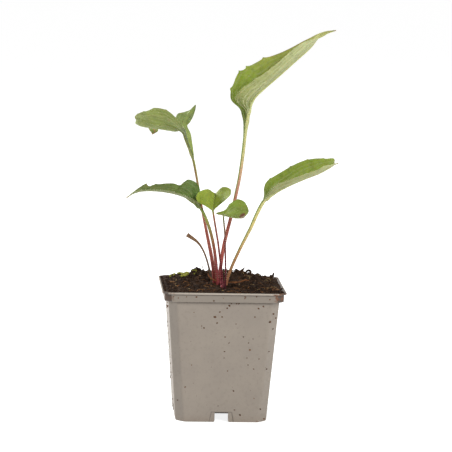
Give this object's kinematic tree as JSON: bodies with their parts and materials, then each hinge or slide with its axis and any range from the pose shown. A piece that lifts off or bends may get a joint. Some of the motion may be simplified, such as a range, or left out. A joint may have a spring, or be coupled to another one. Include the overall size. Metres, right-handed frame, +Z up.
{
  "type": "potted young coneflower plant",
  "caption": "Young perennial with broad pointed leaves on upright red-based stalks, growing in a square tapered nursery pot filled with peat.",
  "frame": {"origin": "middle of the object's box in plan, at the foot of the pot, where it rests", "axes": "+Z up, along the plant; -Y towards the viewer of the picture, square to one side of the pot; +X to that viewer's right"},
  "size_m": [0.1538, 0.09, 0.2831],
  "materials": {
    "pot": "injection-moulded polypropylene, satin, soil-stained",
    "peat": "moist fibrous peat, rough",
    "crown": "waxy young buds, red-purple",
    "leaf": "living leaf, finely hairy, matt green with a paler underside and a red stalk foot",
    "dry_stalk": "withered leaf stalk, dry and brown"
  },
  "bodies": {
    "root": {"pot": "pot", "peat": "peat", "crown": "crown", "leaf_tall": "leaf", "leaf_right": "leaf", "leaf_upper_left": "leaf", "leaf_lower_left": "leaf", "leaf_small_left": "leaf", "leaf_small_right": "leaf", "dry_stalk": "dry_stalk"}
  },
  "joints": []
}
